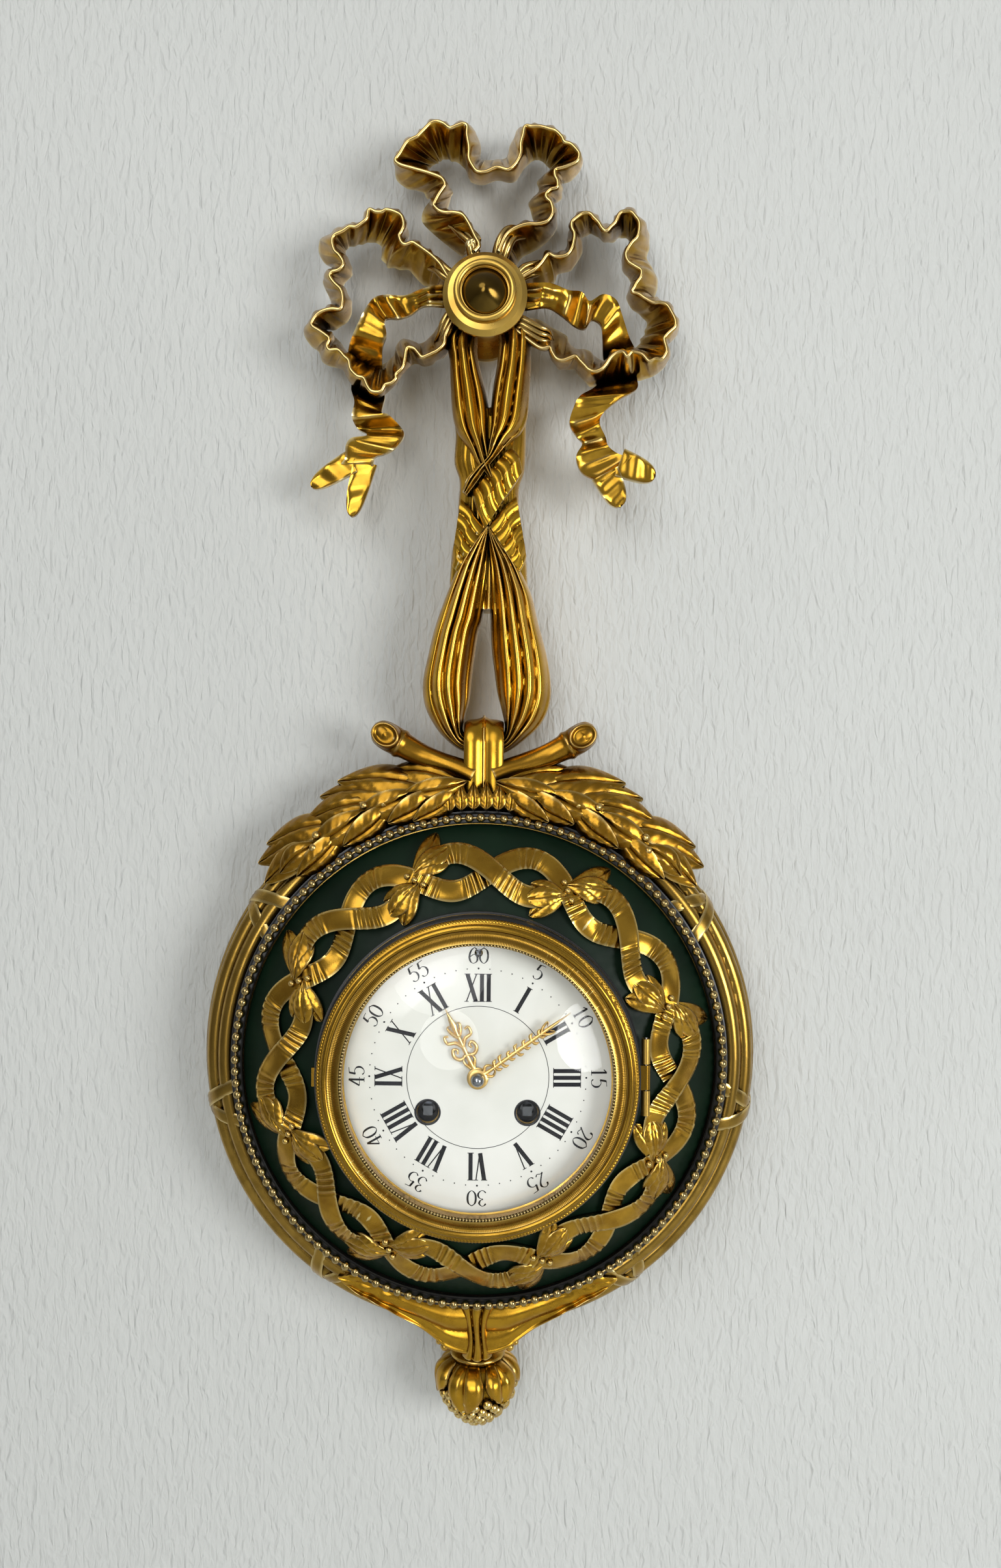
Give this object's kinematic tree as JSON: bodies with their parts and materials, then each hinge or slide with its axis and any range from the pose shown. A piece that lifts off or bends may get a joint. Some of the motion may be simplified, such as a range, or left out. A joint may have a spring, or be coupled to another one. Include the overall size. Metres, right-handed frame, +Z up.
{
  "type": "wall clock",
  "caption": "Round wall clock hung from a gilt ribbon bow by a draped ribbon, with reeded frame, dark green dial surround, opening glass and striking pendulum movement.",
  "frame": {"origin": "middle of the hanging eye at the wall plane", "axes": "+Z up, -Y out of the wall to the front, +X to the right seen from the front"},
  "size_m": [0.259, 0.0893, 0.6047],
  "materials": {
    "gilt_bronze": "cast, chased and gilt, bright on the raised parts",
    "dark_bronze": "toned dark, worn at the highlights",
    "brass": "brushed",
    "steel": "polished",
    "green_lacquer": "satin gloss",
    "black_lacquer": "satin",
    "white_enamel": "gloss",
    "clear_glass": "polished"
  },
  "bodies": {
    "case": {"hanging_plate": "brass", "ribbon_top_loop": "gilt_bronze", "ribbon_left_loop": "gilt_bronze", "ribbon_right_loop": "gilt_bronze", "boss_disc": "gilt_bronze", "boss_cap": "dark_bronze", "hanging_drape": "gilt_bronze", "bail": "gilt_bronze", "left_laurel_branch": "gilt_bronze", "right_laurel_branch": "gilt_bronze", "reeded_frame": "gilt_bronze", "reed_bindings": "gilt_bronze", "bottom_bracket": "gilt_bronze", "berry_finial": "gilt_bronze", "rim_moulding": "black_lacquer", "bead_ring": "dark_bronze", "green_panel": "green_lacquer", "ribbon_wreath": "gilt_bronze", "case_shell": "brass", "back_door_hinge_pin": "steel", "bezel_hinge_pin": "steel", "bezel_hinge_leaf": "brass", "enamel_dial": "white_enamel", "dial_pan": "brass", "front_plate": "brass", "back_plate": "brass", "plate_pillars": "brass", "movement_straps": "brass", "strap_screws": "steel", "suspension_cock": "brass", "bell": "brass", "bell_stand": "steel"},
    "bezel_door": {"bezel": "gilt_bronze", "dial_glass": "clear_glass", "glass_ring": "brass"},
    "back_door": {"back_door": "brass"},
    "minute_train": {"centre_wheel": "brass", "cannon_pinion": "brass", "minute_hand": "gilt_bronze", "hand_collet": "steel"},
    "hour_train": {"hour_wheel": "brass", "hour_hand": "gilt_bronze"},
    "minute_wheel": {"minute_wheel": "brass"},
    "second_wheel": {"second_wheel": "brass"},
    "going_barrel": {"going_barrel": "brass"},
    "third_wheel": {"third_wheel": "brass"},
    "escape_wheel": {"escape_wheel": "brass"},
    "anchor": {"anchor": "steel"},
    "pendulum": {"pendulum": "brass"},
    "going_winding_arbor": {"going_winding_arbor": "steel"},
    "strike_winding_arbor": {"strike_winding_arbor": "steel"},
    "going_click": {"going_click": "steel"},
    "strike_click": {"strike_click": "steel"},
    "strike_barrel": {"strike_barrel": "brass"},
    "strike_second_wheel": {"strike_second_wheel": "brass"},
    "pin_wheel": {"pin_wheel": "brass"},
    "fly": {"fly": "brass"},
    "hammer": {"hammer": "steel"},
    "regulator_arbor": {"regulator_arbor": "steel"}
  },
  "joints": [
    {"name": "bezel_hinge", "type": "hinge", "parent": "case", "child": "bezel_door", "pos_m": [0.0724, -0.0701, -0.35], "axis": [0, 0, 1], "range_deg": [0, 105]},
    {"name": "back_door_hinge", "type": "hinge", "parent": "case", "child": "back_door", "pos_m": [-0.0683, -0.0022, -0.35], "axis": [0, 0, 1], "range_deg": [0, 110]},
    {"name": "minute_turn", "type": "hinge", "parent": "case", "child": "minute_train", "pos_m": [0, -0.045, -0.35], "axis": [0, 1, 0], "continuous": true},
    {"name": "hour_turn", "type": "hinge", "parent": "case", "child": "hour_train", "pos_m": [0, -0.045, -0.35], "axis": [0, 1, 0], "continuous": true},
    {"name": "minute_wheel_turn", "type": "hinge", "parent": "case", "child": "minute_wheel", "pos_m": [0, -0.045, -0.3332], "axis": [0, 1, 0], "continuous": true},
    {"name": "second_wheel_turn", "type": "hinge", "parent": "case", "child": "second_wheel", "pos_m": [0.01707, -0.045, -0.34428], "axis": [0, 1, 0], "continuous": true},
    {"name": "going_barrel_turn", "type": "hinge", "parent": "case", "child": "going_barrel", "pos_m": [0.0213, -0.045, -0.365], "axis": [0, 1, 0], "continuous": true},
    {"name": "third_wheel_turn", "type": "hinge", "parent": "case", "child": "third_wheel", "pos_m": [-0.01264, -0.045, -0.33841], "axis": [0, 1, 0], "continuous": true},
    {"name": "escape_wheel_turn", "type": "hinge", "parent": "case", "child": "escape_wheel", "pos_m": [0, -0.045, -0.328], "axis": [0, 1, 0], "continuous": true},
    {"name": "pendulum_swing", "type": "hinge", "parent": "case", "child": "pendulum", "pos_m": [0, -0.022, -0.313], "axis": [0, 1, 0], "range_deg": [-3.5, 3.5]},
    {"name": "anchor_rock", "type": "hinge", "parent": "case", "child": "anchor", "pos_m": [0, -0.045, -0.313], "axis": [0, 1, 0], "range_deg": [-3.5, 3.5]},
    {"name": "going_winding", "type": "hinge", "parent": "case", "child": "going_winding_arbor", "pos_m": [0.0213, -0.045, -0.365], "axis": [0, 1, 0], "continuous": true},
    {"name": "strike_winding", "type": "hinge", "parent": "case", "child": "strike_winding_arbor", "pos_m": [-0.0213, -0.045, -0.365], "axis": [0, 1, 0], "continuous": true},
    {"name": "going_click_lift", "type": "hinge", "parent": "case", "child": "going_click", "pos_m": [0.0297, -0.045, -0.3579], "axis": [0, 1, 0], "range_deg": [0, 12]},
    {"name": "strike_click_lift", "type": "hinge", "parent": "case", "child": "strike_click", "pos_m": [-0.0297, -0.045, -0.3579], "axis": [0, -1, 0], "range_deg": [0, 12]},
    {"name": "pin_wheel_turn", "type": "hinge", "parent": "case", "child": "pin_wheel", "pos_m": [-0.00029, -0.045, -0.383], "axis": [0, 1, 0], "continuous": true},
    {"name": "strike_second_turn", "type": "hinge", "parent": "case", "child": "strike_second_wheel", "pos_m": [-0.00029, -0.045, -0.3674], "axis": [0, 1, 0], "continuous": true},
    {"name": "strike_barrel_turn", "type": "hinge", "parent": "case", "child": "strike_barrel", "pos_m": [-0.0213, -0.045, -0.365], "axis": [0, 1, 0], "continuous": true},
    {"name": "fly_turn", "type": "hinge", "parent": "case", "child": "fly", "pos_m": [-0.00953, -0.045, -0.38731], "axis": [0, 1, 0], "continuous": true},
    {"name": "hammer_lift", "type": "hinge", "parent": "case", "child": "hammer", "pos_m": [0.012, -0.045, -0.39], "axis": [0, 1, 0], "range_deg": [0, 12]},
    {"name": "regulator_turn", "type": "hinge", "parent": "case", "child": "regulator_arbor", "pos_m": [0, -0.045, -0.297], "axis": [0, 1, 0], "range_deg": [-180, 180]}
  ],
  "couplings": [
    {"joint": "hour_turn", "follows": "minute_turn", "ratio": 0.083333},
    {"joint": "minute_wheel_turn", "follows": "minute_turn", "ratio": -0.33333},
    {"joint": "second_wheel_turn", "follows": "minute_turn", "ratio": -0.14286},
    {"joint": "going_barrel_turn", "follows": "minute_turn", "ratio": 0.017007},
    {"joint": "third_wheel_turn", "follows": "minute_turn", "ratio": -11.25},
    {"joint": "escape_wheel_turn", "follows": "minute_turn", "ratio": 135},
    {"joint": "anchor_rock", "follows": "pendulum_swing", "ratio": 1},
    {"joint": "strike_second_turn", "follows": "pin_wheel_turn", "ratio": -0.11429},
    {"joint": "strike_barrel_turn", "follows": "pin_wheel_turn", "ratio": 0.013605},
    {"joint": "fly_turn", "follows": "pin_wheel_turn", "ratio": -8.5714}
  ]
}
